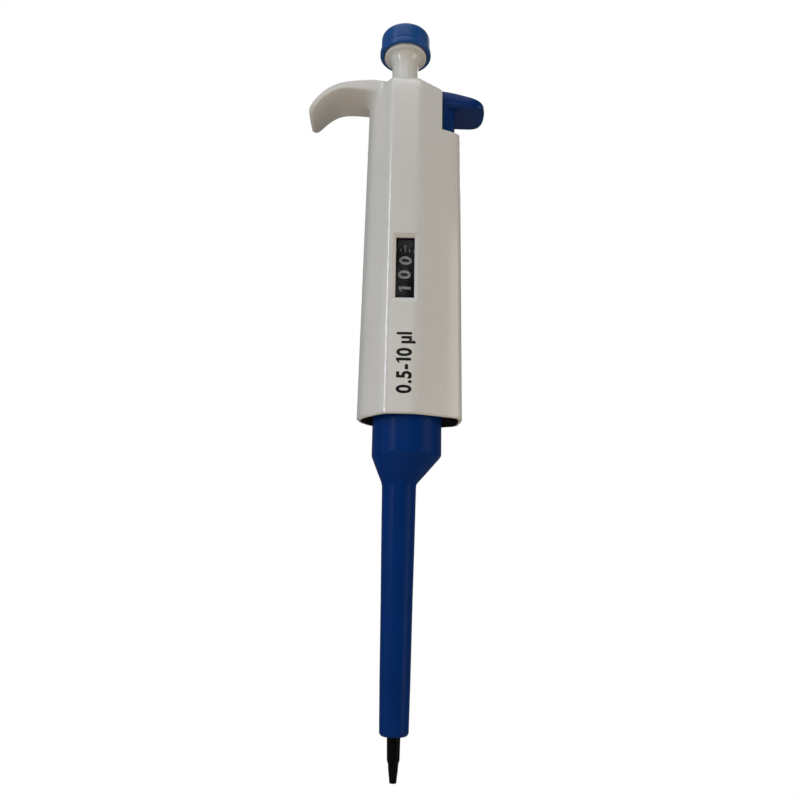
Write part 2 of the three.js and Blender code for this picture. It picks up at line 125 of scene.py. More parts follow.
def softened(corners, steps=4, closed=True, weld=0.004):
    """A line of [x, y, reach] corners, each rounded by a quadratic curve that starts reach away."""
    line = []
    for i, (x, y, reach) in enumerate(corners):
        here = Vector((x, y))
        if reach == 0 or (not closed and i in (0, len(corners) - 1)):
            line.append(here)
            continue
        sides = [Vector(corners[k % len(corners)][:2]) - here for k in (i - 1, i + 1)]
        first, last = [here + s.normalized() * min(reach, s.length / 2) for s in sides]
        for k in range(steps + 1):
            t = k / steps
            line.append(first * (1 - t) ** 2 + here * 2 * t * (1 - t) + last * t * t)
    return [p for i, p in enumerate(line) if (i == 0 and not closed) or (p - line[i - 1]).length > weld]


def turned(name, profile, segments=96, reach=0.18, shift=lambda z: 0.0, at=(0, 0)):
    """A solid of revolution from [radius, z] or [radius, z, reach] points, with its corners softened."""
    closed = profile[0][0] > 0
    corners = [(*p, reach) if len(p) == 2 else p for p in profile]
    line = softened(corners, 4, closed)
    points = []
    for k in range(segments):
        angle = 2 * math.pi * k / segments
        for r, z in line:
            points.append((at[0] + r * math.cos(angle) + shift(z), at[1] + r * math.sin(angle), z))
    count = len(line)
    faces = []
    for k in range(segments):
        here, there = k * count, ((k + 1) % segments) * count
        for i in range(count if closed else count - 1):
            after = (i + 1) % count
            faces.append((here + i, there + i, there + after, here + after))
    return mesh_object(name, points, faces)


def loft(name, sections, sharp_from=32):
    """A closed skin through sections that all have the same number of 3-D points."""
    count = len(sections[0])
    points = [p for section in sections for p in section]
    faces = []
    for level in range(len(sections) - 1):
        low, high = level * count, (level + 1) * count
        faces += [(low + i, low + (i + 1) % count, high + (i + 1) % count, high + i) for i in range(count)]
    faces.append(tuple(reversed(range(count))))
    faces.append(tuple(range(len(points) - count, len(points))))
    return mesh_object(name, points, faces, sharp_from)


def block(name, span_x, span_y, span_z):
    corners = ((0, 0), (1, 0), (1, 1), (0, 1))
    return loft(name, [[(span_x[x], span_y[y], z) for x, y in corners] for z in span_z])


def cylinder(name, radius, low, high, at=(0, 0), segments=96):
    return turned(name, [(0, low), (radius, low), (radius, high), (0, high)], segments, 0, at=at)


def bevelled(obj, width, segments=2, angle=35):
    modifier = obj.modifiers.new("bevel", "BEVEL")
    modifier.width = width * MM
    modifier.segments = segments
    modifier.limit_method = "ANGLE"
    modifier.angle_limit = math.radians(angle)
    modifier.miter_outer = "MITER_ARC"
    apply_modifiers(obj)
    return finish_mesh(obj)


# ---- Materials ----

class Nodes:
    """A new node material with one Principled shader, and shorthand for wiring nodes to it."""

    def __init__(self, name):
        self.material = bpy.data.materials.new(name)
        self.material.use_nodes = True
        self.tree = self.material.node_tree
        self.shader = self.tree.nodes["Principled BSDF"]
        self.coordinates = self.add("ShaderNodeTexCoord").outputs["Object"]

    def add(self, kind, **values):
        node = self.tree.nodes.new(kind)
        for key, value in values.items():
            setattr(node, key, value)
        return node

    def link(self, output, target):
        self.tree.links.new(output, target)

    def noise(self, scale, detail=3.0, roughness=0.55, stretch=(1, 1, 1)):
        """Noise whose scale is in features to a metre."""
        mapping = self.add("ShaderNodeMapping")
        mapping.inputs["Scale"].default_value = stretch
        self.link(self.coordinates, mapping.inputs["Vector"])
        node = self.add("ShaderNodeTexNoise")
        node.inputs["Scale"].default_value = scale
        node.inputs["Detail"].default_value = detail
        node.inputs["Roughness"].default_value = roughness
        self.link(mapping.outputs["Vector"], node.inputs["Vector"])
        return node.outputs["Fac"]

    def ramp(self, value, low, high, start=0.35, end=0.65):
        """A colour that goes from low to high as the value goes from start to end."""
        node = self.add("ShaderNodeValToRGB")
        for element, place, colour in zip(node.color_ramp.elements, (start, end), (low, high)):
            element.position = place
            element.color = (*colour, 1)
        self.link(value, node.inputs["Fac"])
        return node.outputs["Color"]

    def span(self, value, low, high, start=0.3, end=0.7):
        """The value, mapped from start..end to low..high."""
        node = self.add("ShaderNodeMapRange")
        for key, number in (("From Min", start), ("From Max", end), ("To Min", low), ("To Max", high)):
            node.inputs[key].default_value = number
        self.link(value, node.inputs["Value"])
        return node.outputs["Result"]

    def bump(self, height, distance, strength=1.0):
        node = self.add("ShaderNodeBump")
        node.inputs["Strength"].default_value = strength
        node.inputs["Distance"].default_value = distance * MM
        self.link(height, node.inputs["Height"])
        self.link(node.outputs["Normal"], self.shader.inputs["Normal"])

    def set(self, **values):
        for key, value in values.items():
            self.shader.inputs[key.replace("_", " ")].default_value = value


def shade(colour, factor):
    return tuple(min(1.0, c * factor) for c in colour)


def plastic(name, colour, roughness, grain=0.0015, spread=0.05, coat=0.0, gloss=0.5):
    """Moulded plastic: a faint cloudiness in the colour, uneven gloss and a fine moulding grain."""
    nodes = Nodes(name)
    cloud = nodes.noise(55, 4)
    nodes.link(nodes.ramp(cloud, shade(colour, 1 - spread), shade(colour, 1 + spread)),
               nodes.shader.inputs["Base Color"])
    nodes.link(nodes.span(nodes.noise(900, 3), roughness - 0.03, roughness + 0.03),
               nodes.shader.inputs["Roughness"])
    nodes.bump(nodes.noise(2600, 2, 0.6), grain, 0.6)
    nodes.set(Coat_Weight=coat, Coat_Roughness=0.1, Specular_IOR_Level=gloss)
    return nodes.material


def metal(name, colour, roughness, lay=(1, 1, 40)):
    """Turned or drawn metal, with fine lines across the direction of the lay."""
    nodes = Nodes(name)
    lines = nodes.noise(900, 3, 0.6, lay)
    nodes.link(nodes.ramp(lines, shade(colour, 0.86), shade(colour, 1.1)), nodes.shader.inputs["Base Color"])
    nodes.link(nodes.span(lines, roughness - 0.08, roughness + 0.12), nodes.shader.inputs["Roughness"])
    nodes.bump(lines, 0.003, 0.5)
    nodes.set(Metallic=1.0)
    return nodes.material


def rubber(name, colour):
    nodes = Nodes(name)
    nodes.link(nodes.ramp(nodes.noise(400, 4), shade(colour, 0.8), shade(colour, 1.3)),
               nodes.shader.inputs["Base Color"])
    nodes.link(nodes.span(nodes.noise(900), 0.6, 0.8), nodes.shader.inputs["Roughness"])
    nodes.bump(nodes.noise(5000, 3), 0.012)
    return nodes.material


def clear_plastic(name, colour, alpha):
    """Polished clear plastic, with faint wipe marks in its gloss."""
    nodes = Nodes(name)
    nodes.link(nodes.ramp(nodes.noise(300), shade(colour, 0.9), shade(colour, 1.1)),
               nodes.shader.inputs["Base Color"])
    nodes.link(nodes.span(nodes.noise(700, 4, 0.5, (1, 1, 0.2)), 0.03, 0.12),
               nodes.shader.inputs["Roughness"])
    nodes.set(Alpha=alpha, IOR=1.49)
    return nodes.material


def ink(name, colour, roughness=0.5):
    """Printed ink, a little uneven in its cover."""
    nodes = Nodes(name)
    nodes.link(nodes.ramp(nodes.noise(2500, 3), shade(colour, 0.85), shade(colour, 1.08)),
               nodes.shader.inputs["Base Color"])
    nodes.link(nodes.span(nodes.noise(1800), roughness - 0.08, roughness + 0.08),
               nodes.shader.inputs["Roughness"])
    nodes.bump(nodes.noise(4000), 0.003)
    nodes.set(Specular_IOR_Level=0.15)
    return nodes.material


MATERIALS = {
    "housing_plastic": plastic("housing_plastic", (0.60, 0.59, 0.56), 0.25, coat=0.35, spread=0.02),
    "button_plastic": plastic("button_plastic", (0.64, 0.63, 0.59), 0.25, coat=0.3, spread=0.02),
    "cap_plastic": plastic("cap_plastic", (0.006, 0.066, 0.25), 0.3, spread=0.08, gloss=0.3),
    "sleeve_plastic": plastic("sleeve_plastic", (0.0008, 0.024, 0.138), 0.3, spread=0.08, gloss=0.05),
    "ejector_plastic": plastic("ejector_plastic", (0.0012, 0.024, 0.13), 0.22, spread=0.08, coat=0.06,
                               gloss=0.12),
    "barrel_plastic": plastic("barrel_plastic", (0.0016, 0.0016, 0.0018), 0.4, 0.003, 0.15, gloss=0.05),
    "frame_plastic": plastic("frame_plastic", (0.02, 0.02, 0.022), 0.5, grain=0.01, spread=0.2),
    "grey_plastic": plastic("grey_plastic", (0.13, 0.13, 0.14), 0.45, grain=0.008),
    "drum_plastic": plastic("drum_plastic", (0.004, 0.004, 0.006), 0.4, spread=0.15, gloss=0.2),
    "window_plastic": clear_plastic("window_plastic", (0.02, 0.022, 0.026), 0.22),
    "steel": metal("steel", (0.55, 0.56, 0.58), 0.3),
    "brass": metal("brass", (0.62, 0.44, 0.18), 0.32),
    "seal_rubber": rubber("seal_rubber", (0.02, 0.02, 0.021)),
    "seal_polymer": plastic("seal_polymer", (0.8, 0.8, 0.77), 0.5, grain=0.006, spread=0.02),
}
DIGIT_INK = ink("digit_ink", (0.95, 0.96, 0.97))
PRINT_INK = ink("print_ink", (0.006, 0.006, 0.007), 0.35)


def paint(obj, material):
    obj.data.materials.clear()
    obj.data.materials.append(material)


def piece(obj, body, slot, *stands_for):
    """Gives a new piece its material and its body, and hides the CAD nodes that it stands for."""
    paint(obj, MATERIALS[slot])
    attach(obj, body)
    if stands_for:
        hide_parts(*stands_for)
    return obj


for row in frame["record"]["subparts"]:
    paint(frame["nodes"][row["node"]], MATERIALS[row["material_slot"]])


# ---- Housing with its finger hook ----

TAPER = {"start": 109, "span": 91, "hook_side": 0.08, "ejector_side": 0.021, "front_and_back": 0.04}


def narrowed(x, y, z):
    """The housing narrows upwards, most on the hook's side."""
    up = (z - TAPER["start"]) / TAPER["span"]
    side = TAPER["hook_side"] if x < 0 else TAPER["ejector_side"]
    return x * (1 - side * up), y * (1 - TAPER["front_and_back"] * up)


def inset(outline, distance):
    """A counter-clockwise outline of (x, y) points moved inwards."""
    moved = []
    for i, (x, y) in enumerate(outline):
        before, after = outline[i - 1], outline[(i + 1) % len(outline)]
        along = (Vector(after) - Vector(before)).normalized()
        moved.append((x - along.y * distance, y + along.x * distance))
    return moved


HOUSING_OUTLINE = [tuple(p) for p in softened(HOUSING_CORNERS, 8, weld=0.15)]


def housing_section(z, depth=0.0):
    """The housing's outline at a height, moved inwards by a depth, as 3-D points."""
    outline = [narrowed(x, y, z) for x, y in HOUSING_OUTLINE]
    return [(x, y, z) for x, y in inset(outline, depth)]


# control points of half the outline, from the ejector's side to the hook's; the other half mirrors it
CAGE_HALF = [
    (19.35, 0), (19.05, 4.2), (18.6, 6.15), (16.2, 7.6), (7.29, 11.5), (5.0, 12.5), (2.5, 12.5),
    (-1.5, 12.5), (-4.6, 12.5), (-6.76, 10.28), (-8.86, 8.11), (-11.3, 5.6), (-12.37, 2.8), (-13.45, 0),
]
# the whole ring of columns, and its rows as heights and depths
CAGE_RING = CAGE_HALF + [(x, -y) for x, y in CAGE_HALF[-2:0:-1]]
CAGE_ROWS = [
    (97, 0), (101, 0), (115, 0), (137, 0), (160, 0), (180, 0), (195, 0), (204, 0), (209.5, 0), (211.8, 0),
    (213.6, 0.3), (215.6, 1.0), (217.0, 2.2), (217.6, 4.0),
]
HOOK_LOW_ROW = 8
HOOK_COLUMNS = range(10, 17)
# the boss round the stem, as radii and heights; it stands higher than the CAD housing
BOSS_RINGS = [(8.2, 217.8), (7.4, 218.3), (6.3, 219.4), (4.3, 219.5)]
SLOPE_START = 5.0
SLOPE = 0.25
SLOPE_LOW_Z = 200
HOOK_LIFT = 0.8
LIFT_START, LIFT_SPAN = -1, 3

HOOK_ROOT_Z = 212
# the hook's first sections: how far their upper and lower edges stand off the housing, and their heights
HOOK_ROOT = [((1.5, 217.9), (0.5, 211.6)), ((4.6, 217.6), (2.6, 213.1))]
# its free sections: upper point, lower point and half-width
HOOK_SECTIONS = [
    ((-18.2, 216.9), (-18.2, 213.7), 8.0), ((-21.6, 216.1), (-21.0, 213.6), 8.0),
    ((-24.5, 214.8), (-23.6, 212.7), 8.0), ((-27.0, 212.9), (-25.9, 211.1), 8.0),
    ((-29.1, 210.6), (-27.8, 209.2), 8.0), ((-30.8, 208.4), (-29.2, 207.5), 7.8),
    ((-31.8, 206.9), (-30.1, 206.3), 7.0), ((-31.9, 205.9), (-30.8, 205.4), 5.6),
]
HOOK_ACROSS = [1, 0.72, 0.36, 0, -0.36, -0.72, -1]


def sloped(x, y, z):
    """The top falls away towards the ejector, and stands a little higher on the hook's side."""
    share = min(1.0, max(0.0, (z - SLOPE_LOW_Z) / (HOUSING_TOP - SLOPE_LOW_Z)))
    lift = HOOK_LIFT * min(1.0, max(0.0, (LIFT_START - x) / LIFT_SPAN))
    return x, y, z + (lift - SLOPE * max(0.0, x - SLOPE_START)) * share


def housing_cage():
    """Points and faces of the housing's control mesh, with the hook drawn out of its upper left side."""
    points, faces = [], []
    count = len(CAGE_RING)
    for z, depth in CAGE_ROWS:
        outline = inset([narrowed(x, y, z) for x, y in CAGE_RING], depth)
        points += [sloped(x, y, z) for x, y in outline]
    for number, (radius, z) in enumerate(BOSS_RINGS):
        for x, y in CAGE_RING:
            x, y = Vector((x, y)).normalized() * radius
            points.append(sloped(x, y, z) if number == 0 else (x, y, z))
    rows = len(CAGE_ROWS) + len(BOSS_RINGS)
    top_row = len(CAGE_ROWS) - 1
    for row in range(rows - 1):
        for i in range(count):
            in_hook = HOOK_LOW_ROW <= row < top_row and HOOK_COLUMNS[0] <= i < HOOK_COLUMNS[-1]
            if not in_hook:
                a, b = row * count + i, row * count + (i + 1) % count
                faces.append((a, b, b + count, a + count))
    faces.append(tuple(reversed(range(count))))
    points.append((0, 0, BOSS_RINGS[-1][1]))
    last = (rows - 1) * count
    faces += [(last + i, last + (i + 1) % count, len(points) - 1) for i in range(count)]
    add_hook(points, faces, count, top_row)
    return points, faces


def add_hook(points, faces, count, top_row):
    """Draws the open patch in the housing's side out through the hook's sections, and closes the tip."""
    columns, levels = len(HOOK_COLUMNS), top_row - HOOK_LOW_ROW

    def boundary(index):
        """The rim of a patch of columns by levels, where index(column, level) is a point's number."""
        rim = [index(j, levels) for j in range(columns)]
        rim += [index(columns - 1, level) for level in range(levels - 1, 0, -1)]
        rim += [index(j, 0) for j in reversed(range(columns))]
        return rim + [index(0, level) for level in range(1, levels)]

    before = boundary(lambda j, level: (HOOK_LOW_ROW + level) * count + HOOK_COLUMNS[j])
    sides = [narrowed(*CAGE_RING[i], HOOK_ROOT_Z) for i in HOOK_COLUMNS]
    rows = []
    for upper, lower in HOOK_ROOT:
        rows.append([((x - upper[0], y, upper[1]), (x - lower[0], y, lower[1])) for x, y in sides])
    for upper, lower, half in HOOK_SECTIONS:
        rows.append([((upper[0], a * half, upper[1]), (lower[0], a * half, lower[1])) for a in HOOK_ACROSS])
    for row in rows:
        start = len(points)
        for level in range(levels + 1):
            for (high, low), across in zip(row, HOOK_ACROSS):
                bulge = 0.5 * (1 - across**2) if row is rows[-1] else 0
                x, y, z = Vector(low).lerp(Vector(high), level / levels)
                points.append((x, y, z - bulge))
        rim = boundary(lambda j, level: start + level * columns + j)
        for i in range(len(rim)):
            after = (i + 1) % len(rim)
            faces.append((before[i], before[after], rim[after], rim[i]))
        before = rim
    for level in range(levels):
        for j in range(columns - 1):
            a = start + level * columns + j
            faces.append((a, a + 1, a + columns + 1, a + columns))


# the window's sloping sides: deeper than in the CAD, with a shorter upper slope
BEVEL = {"low": 137.2, "high": 159.8, "width": 8.4, "depth": 1.25}
# how far the tool that cuts them stands out in front, and how much wider and taller it is there
BEVEL_FLARE = {"out": 0.4, "across": 0.6, "along": 0.9}


def bevel_tool():
    """The sloping sides round the window, from in front of the face down to the opening."""
    half, wide = WINDOW["width"] / 2, BEVEL["width"] / 2 + BEVEL_FLARE["across"]

    def rectangle(y, reach, low, high):
        middle = WINDOW["x"]
        return [(middle + sx * reach, y, z) for sx, z in ((-1, low), (1, low), (1, high), (-1, high))]

    return loft("bevel_tool", [
        rectangle(FRONT_Y + BEVEL["depth"], half, WINDOW["low"], WINDOW["high"]),
        rectangle(FRONT_Y - BEVEL_FLARE["out"], wide, BEVEL["low"] - BEVEL_FLARE["along"],
                  BEVEL["high"] + BEVEL_FLARE["along"]),
    ])


# places past the housing's ejector side, its front and back, and its top, for tools that cut right through
PAST_X, PAST_Y, PAST_TOP = 30, 20, 220
NOTCH_WALL = 1.3
# sections of the hollow, as heights and depths: a wide mouth, a shallow rib part-way up and a closed top
CAVITY_LEVELS = [
    (HOUSING_BOTTOM - 1, HOUSING_WALL - 0.7), (HOUSING_BOTTOM + 0.5, HOUSING_WALL - 0.3),
    (163.6, HOUSING_WALL), (163.7, HOUSING_WALL + 0.4), (166.5, HOUSING_WALL + 0.4), (166.6, HOUSING_WALL),
    (LEDGE_Z + 1.6, HOUSING_WALL), (213.4, HOUSING_WALL + 0.8),
]
# what the skin is kept within: a bottom edge with a small chamfer, and nothing cut off above it
TRIM_LEVELS = [
    (HOUSING_BOTTOM, 0.4), (HOUSING_BOTTOM + 0.75, -0.35), (HOUSING_BOTTOM + 1.5, -5), (190, -40), (230, -40),
]
# the stem's hole widens into this lip, which the stem's flare enters when fully pressed
STEM_LIP = {"low": 217.6, "high": 219.8, "radius": 5.6}


def cavity_tool():
    """The housing's hollow, without the wall that stands between it and the ejector's notch."""
    tool = loft("cavity_tool", [housing_section(z, depth) for z, depth in CAVITY_LEVELS])
    inner_wall = block("inner_wall", (NOTCH_X - NOTCH_WALL, NOTCH_X + 0.1), (-PAST_Y, PAST_Y),
                       (LEDGE_Z - 3, PAST_TOP))
    return boolean(tool, inner_wall)


def housing():
    """The housing and its hook as one skin, with the hollow, notch, stem hole and window cut out."""
    points, faces = housing_cage()
    obj = mesh_object("housing_shell", points, faces)
    obj.modifiers.new("subdivision", "SUBSURF").levels = 2
    apply_modifiers(obj)
    trim = loft("trim_tool", [housing_section(z, depth) for z, depth in TRIM_LEVELS])
    boolean(obj, trim, "INTERSECT")
    boolean(obj, cavity_tool())
    boolean(obj, block("notch_tool", (NOTCH_X, PAST_X), (-PAST_Y, PAST_Y), (LEDGE_Z, PAST_TOP)))
    boolean(obj, turned("stem_hole_tool", [
        (0, 210), (STEM_HOLE_R, 210), (STEM_HOLE_R, STEM_LIP["low"]),
        (STEM_LIP["radius"], STEM_LIP["high"]), (STEM_LIP["radius"], 222), (0, 222),
    ], reach=0))
    half = WINDOW["width"] / 2
    opening = block("opening_tool", (WINDOW["x"] - half, WINDOW["x"] + half), (-14, -9),
                    (WINDOW["low"], WINDOW["high"]))
    boolean(obj, opening)
    boolean(obj, bevel_tool())
    round_notch(obj)
    return finish_mesh(obj, 28)


def round_notch(obj):
    """Rounds the long outer edges that the ejector's notch leaves."""
    mesh = bmesh.new()
    mesh.from_mesh(obj.data)
    bmesh.ops.remove_doubles(mesh, verts=mesh.verts, dist=1e-5)
    sharp = math.radians(50)
    chosen = []
    for edge in mesh.edges:
        on_floor = all(abs(v.co.z / MM - LEDGE_Z) < 0.01 for v in edge.verts)
        on_side = all(abs(v.co.x / MM - NOTCH_X) < 0.01 for v in edge.verts)
        outer = len(edge.link_faces) == 2 and edge.is_convex and edge.calc_face_angle(0) > sharp
        if (on_floor or on_side) and outer:
            chosen.append(edge)
    bmesh.ops.bevel(mesh, geom=chosen, offset=0.2 * MM, segments=3, profile=0.5, affect="EDGES",
                    clamp_overlap=True)
    mesh.to_mesh(obj.data)
    mesh.free()


HOOK_SIDE = -13.0  # the hollow doesn't reach this far, and the hook lies beyond it
HOLLOW_X = 2
SURROUND = {"y": -10.95, "reach": 4.5, "rise": 3}


def near_window(place):
    """Whether a place is round the window, where the walls keep the housing's own colour."""
    x, y, z = place / MM
    in_height = WINDOW["low"] - SURROUND["rise"] < z < WINDOW["high"] + SURROUND["rise"]
    return y < SURROUND["y"] and abs(x - WINDOW["x"]) < SURROUND["reach"] and in_height


def paint_inside_shade(obj):
    """The cavity's walls are painted black: painted shade for the darkness deep inside the housing's opening
    and behind the window.
    """
    obj.data.materials.append(MATERIALS["frame_plastic"])
    axis = Vector((HOLLOW_X, 0, 0)) * MM
    for face in obj.data.polygons:
        out = Vector((face.center.x, face.center.y, 0)) - axis
        # a wall looks inwards, and isn't near level
        inwards = face.normal.dot(out.normalized()) < -0.2 and abs(face.normal.z) < 0.7
        in_cavity = face.center.x > HOOK_SIDE * MM and face.center.z < LEDGE_Z * MM
        if inwards and in_cavity and not near_window(face.center):
            # painted shade: this inward-facing wall gets the black plastic
            face.material_index = 1


shell = piece(housing(), "root", "housing_plastic", "housing")
# painted shade: the hollow's inner walls are painted black
paint_inside_shade(shell)

PANE = {"half": 3.5, "front": -10.5, "back": -9.7, "overlap": 1.2}
lens = block("window_pane", (WINDOW["x"] - PANE["half"], WINDOW["x"] + PANE["half"]),
             (PANE["front"], PANE["back"]),
             (WINDOW["low"] - PANE["overlap"], WINDOW["high"] + PANE["overlap"]))
piece(bevelled(lens, 0.15), "root", "window_plastic", "window_lens")


# ---- Turned outer pieces ----

STEM_R = 4.45
DISC_R = 7.25
CAP_RIM_R = 8.8
CAP_R = 8.4
TOP = 240.0
FLANGE = 205.0

piece(turned("button_stem", [
    (2.4, FLANGE), (6.6, FLANGE), (6.6, FLANGE + 2), (STEM_R, FLANGE + 2, 0.3), (STEM_R, 225, 3),
    (4.6, 229, 1.2), (5.3, 230.6, 0.9), (DISC_R - 0.2, 231.05, 0.3), (DISC_R, 231.3), (DISC_R, 235.5),
    (2.7, 235.5), (2.7, 233), (1.3, 233), (1.3, 228.9), (2.4, 228.9),
]), "knob", "button_plastic", "push_button")

piece(turned("blue_cap", [
    (0, 235.9), (7.55, 235.9), (7.55, 231.8), (8.5, 231.8), (CAP_RIM_R, 232.1), (CAP_RIM_R, 233.7, 0.2),
    (CAP_R - 0.2, 233.9, 0.08), (CAP_R - 0.2, 234.25, 0.08), (CAP_R, 234.4, 0.1), (CAP_R, 238.9, 1.0),
    (CAP_R - 0.9, TOP - 0.15, 0.8), (6.4, TOP, 0.6), (4.0, TOP - 0.25, 1.5), (0, TOP - 0.3),
]), "knob", "cap_plastic", "knob_cap")


SLEEVE_END = 12.3
SLEEVE_LEAN = 0.3
LEAN_TOP = 80
FUNNEL_LOW, FUNNEL_HIGH = 83, 92


def sleeve_shift(z):
    """The sleeve leans a little towards the ejector, and further where it widens into the funnel."""
    up = min(1.0, max(0.0, (z - FUNNEL_LOW) / (FUNNEL_HIGH - FUNNEL_LOW)))
    return SLEEVE_LEAN * min(1.0, z / LEAN_TOP) + (COLLAR_X - SLEEVE_LEAN) * up


piece(turned("blue_sleeve", [
    (2.4, SLEEVE_END, 0.1), (3.75, SLEEVE_END, 0.15), (4.2, SLEEVE_END + 0.7), (4.25, 16, 1),
    (4.45, 27, 2), (4.7, 49, 2), (4.98, 66, 2), (5.15, 80, 1), (5.2, 83, 0.8), (7.9, 87.2, 0.5),
    (10.65, 91.6, 0.7), (10.65, 112, 0.3), (9.45, 112, 0.2), (9.45, 92.8), (6.9, 88.4), (4.3, 84.2),
    (4.25, 80), (3.8, 49), (3.35, 18), (2.4, 14.2),
], shift=sleeve_shift), "ejector", "sleeve_plastic", "ejector_sleeve")

piece(turned("tip_cone", [
    (0.4, 0, 0.05), (1.0, 0, 0.15), (1.06, 0.9), (1.37, 3.4, 0.4), (1.45, 4.9, 0.3), (1.79, 5.8, 0.3),
    (1.88, 9.8, 1), (1.95, 14.2, 1), (2.6, 18, 1), (3.2, 50, 1), (3.6, 92.5, 1), (3.8, 96.7), (5.6, 97),
    (5.6, 99.8), (2.8, 99.8), (2.8, 62), (0.95, 62), (0.95, 30), (0.4, 29),
], 64), "root", "barrel_plastic", "barrel")


# ---- Ejector button ----

PAD_UNDER = 207.9  # lower than in the CAD
PAD_STATIONS = [12.52, 12.65, 13.2, 15, 17, 19, 21, 22.6, 24, 25.1, 25.9, 26.5, 26.85, 27.0]
PAD_TOP_LINE = [
    (12, 215.0), (16, 214.3), (20, 213.1), (23, 212.2), (25.4, 211.4), (26.4, 210.9), (27.2, 210.1),
]
PAD_HALF_WIDTH = 7.0
PAD_POINTS = 36
PAD_TIP = {"start": 20.5, "length": 6.55}
PAD_UPTURN = {"start": 24.6, "length": 2.5, "power": 2.5}
PAD_POWER_Y, PAD_POWER_Z = 0.36, 0.42  # 1 gives an oval section, and less a squarer one
WEB = {"z": 200, "gap": 0.25, "inner": NOTCH_X + 0.35, "outer": 17.25, "low": 190.5, "high": 209.0}
ROD_SOCKET = {"radius": 1.4, "low": 189, "high": 196.6}


def along_line(line, x):
    """The height at x of a line of (x, z) points."""
    for (x0, z0), (x1, z1) in zip(line, line[1:]):
        if x <= x1:
            return z0 + (z1 - z0) * (x - x0) / (x1 - x0)
    return line[-1][1]


def pad():
    """The thumb pad, through rounded sections from its root to its tip."""
    sections = []
    for x in PAD_STATIONS:
        reach = max(0.0, (x - PAD_TIP["start"]) / PAD_TIP["length"])
        half = PAD_HALF_WIDTH * (1 - reach**3) ** (1 / 3)
        top = along_line(PAD_TOP_LINE, x)
        past = max(0.0, (x - PAD_UPTURN["start"]) / PAD_UPTURN["length"])
        under = PAD_UNDER + past ** PAD_UPTURN["power"]
        pinch = 0.12 if x == PAD_STATIONS[0] else 0.0
        middle, height = (top + under) / 2, (top - under) / 2 - pinch
        section = []
        for k in range(PAD_POINTS):
            angle = 2 * math.pi * k / PAD_POINTS
            c, s = math.cos(angle), math.sin(angle)
            y = math.copysign(abs(c) ** PAD_POWER_Y, c) * (half - pinch)
            section.append((x, y, middle + math.copysign(abs(s) ** PAD_POWER_Z, s) * height))
        sections.append(section)
    return loft("ejector_pad", sections, 40)


def clipped(outline, low, high):
    """The part of a closed outline of (x, y) points that lies between two values of x."""
    for limit, side in ((low, 1), (high, -1)):
        kept = []
        for i, here in enumerate(outline):
            before = outline[i - 1]
            inside, was_inside = side * (here[0] - limit) >= 0, side * (before[0] - limit) >= 0
            if inside != was_inside:
                t = (limit - before[0]) / (here[0] - before[0])
                kept.append((limit, before[1] + (here[1] - before[1]) * t))
            if inside:
                kept.append(here)
        outline = kept
    return outline


def ejector_button():
    """The pad on its web, which fits the inside of the housing's wall, with the rod's socket."""
    outline = inset([narrowed(x, y, WEB["z"]) for x, y in HOUSING_OUTLINE], HOUSING_WALL + WEB["gap"])
    web_outline = clipped(outline, WEB["inner"], WEB["outer"])
    web = loft("web", [[(x, y, z) for x, y in web_outline] for z in (WEB["low"], WEB["high"])])
    bevelled(web, 0.5, 3, 30)
    obj = boolean(pad(), web, "UNION")
    socket = cylinder("rod_socket_tool", ROD_SOCKET["radius"], ROD_SOCKET["low"], ROD_SOCKET["high"],
                      (ROD_X, 0), 32)
    boolean(obj, socket)
    return finish_mesh(obj, 35)


piece(ejector_button(), "ejector", "ejector_plastic", "ejector_button")


# ---- Springs ----

SPRING_STEPS = 26
SPRING_SIDES = 8


def spring(name, radius, wire, low, high, turns, at=(0, 0)):
    """A coil spring of round wire, with its end coils closed against the seats."""
    closed_turns, seat_gap = 0.8, 0.05
    steps = int(turns * SPRING_STEPS)
    bottom, top = low + wire / 2 + seat_gap, high - wire / 2 - seat_gap
    path = []
    for k in range(steps + 1):
        turn = turns * k / steps
        share = min(1.0, max(0.0, (turn - closed_turns) / (turns - 2 * closed_turns)))
        angle = 2 * math.pi * turn
        path.append(Vector((at[0] + radius * math.cos(angle), at[1] + radius * math.sin(angle),
                            bottom + (top - bottom) * share)))
    sections = []
    for k, here in enumerate(path):
        along = (path[min(k + 1, steps)] - path[max(k - 1, 0)]).normalized()
        out = Vector((here.x - at[0], here.y - at[1], 0)).normalized()
        side = along.cross(out).normalized()
        angles = [2 * math.pi * i / SPRING_SIDES for i in range(SPRING_SIDES)]
        sections.append([here + (out * math.cos(a) + side * math.sin(a)) * wire / 2 for a in angles])
    return loft(name, sections, 50)


PRESSED = STROKE + BLOW_OUT
EJECT = 8.5
SPRINGS = [
    # name, body, joint, node, radius, wire, low, high, turns, at, length lost at the joint's limit
    ("return_coil", "root", "plunger_press", "main_return_spring",
     4.3, 0.9, 108.4, 126.5, 7, (0, 0), PRESSED),
    ("piston_coil", "root", "plunger_press", "piston_spring",
     2.0, 0.45, 69.5, 92, 9, (0, 0), PRESSED),
    ("ejector_coil", "root", "eject", "ejector_spring",
     1.85, 0.5, 134, 151, 8, (ROD_X, 0), EJECT),
    ("blow_out_coil", "stop_nut", "plunger_press", "blow_out_spring",
     5.9, 1.0, 186.2, 197, 4, (0, 0), BLOW_OUT),
]
for name, body, joint, node, radius, wire, low, high, turns, at, lost in SPRINGS:
    coil = piece(spring(name, radius, wire, low, high, turns, at), body, "steel", node)
    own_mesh(coil)


# ---- Digits, vernier marks and the printed range ----

CAP_HEIGHT = 0.73
# a plain upright 1, and the x that its two sides are thickened away from
FIGURE_ONE = [(0.16, 0), (0.26, 0), (0.26, 0.73), (0.185, 0.73), (0.03, 0.62), (0.03, 0.52), (0.16, 0.6)]
FIGURE_ONE_MIDDLE = 0.2


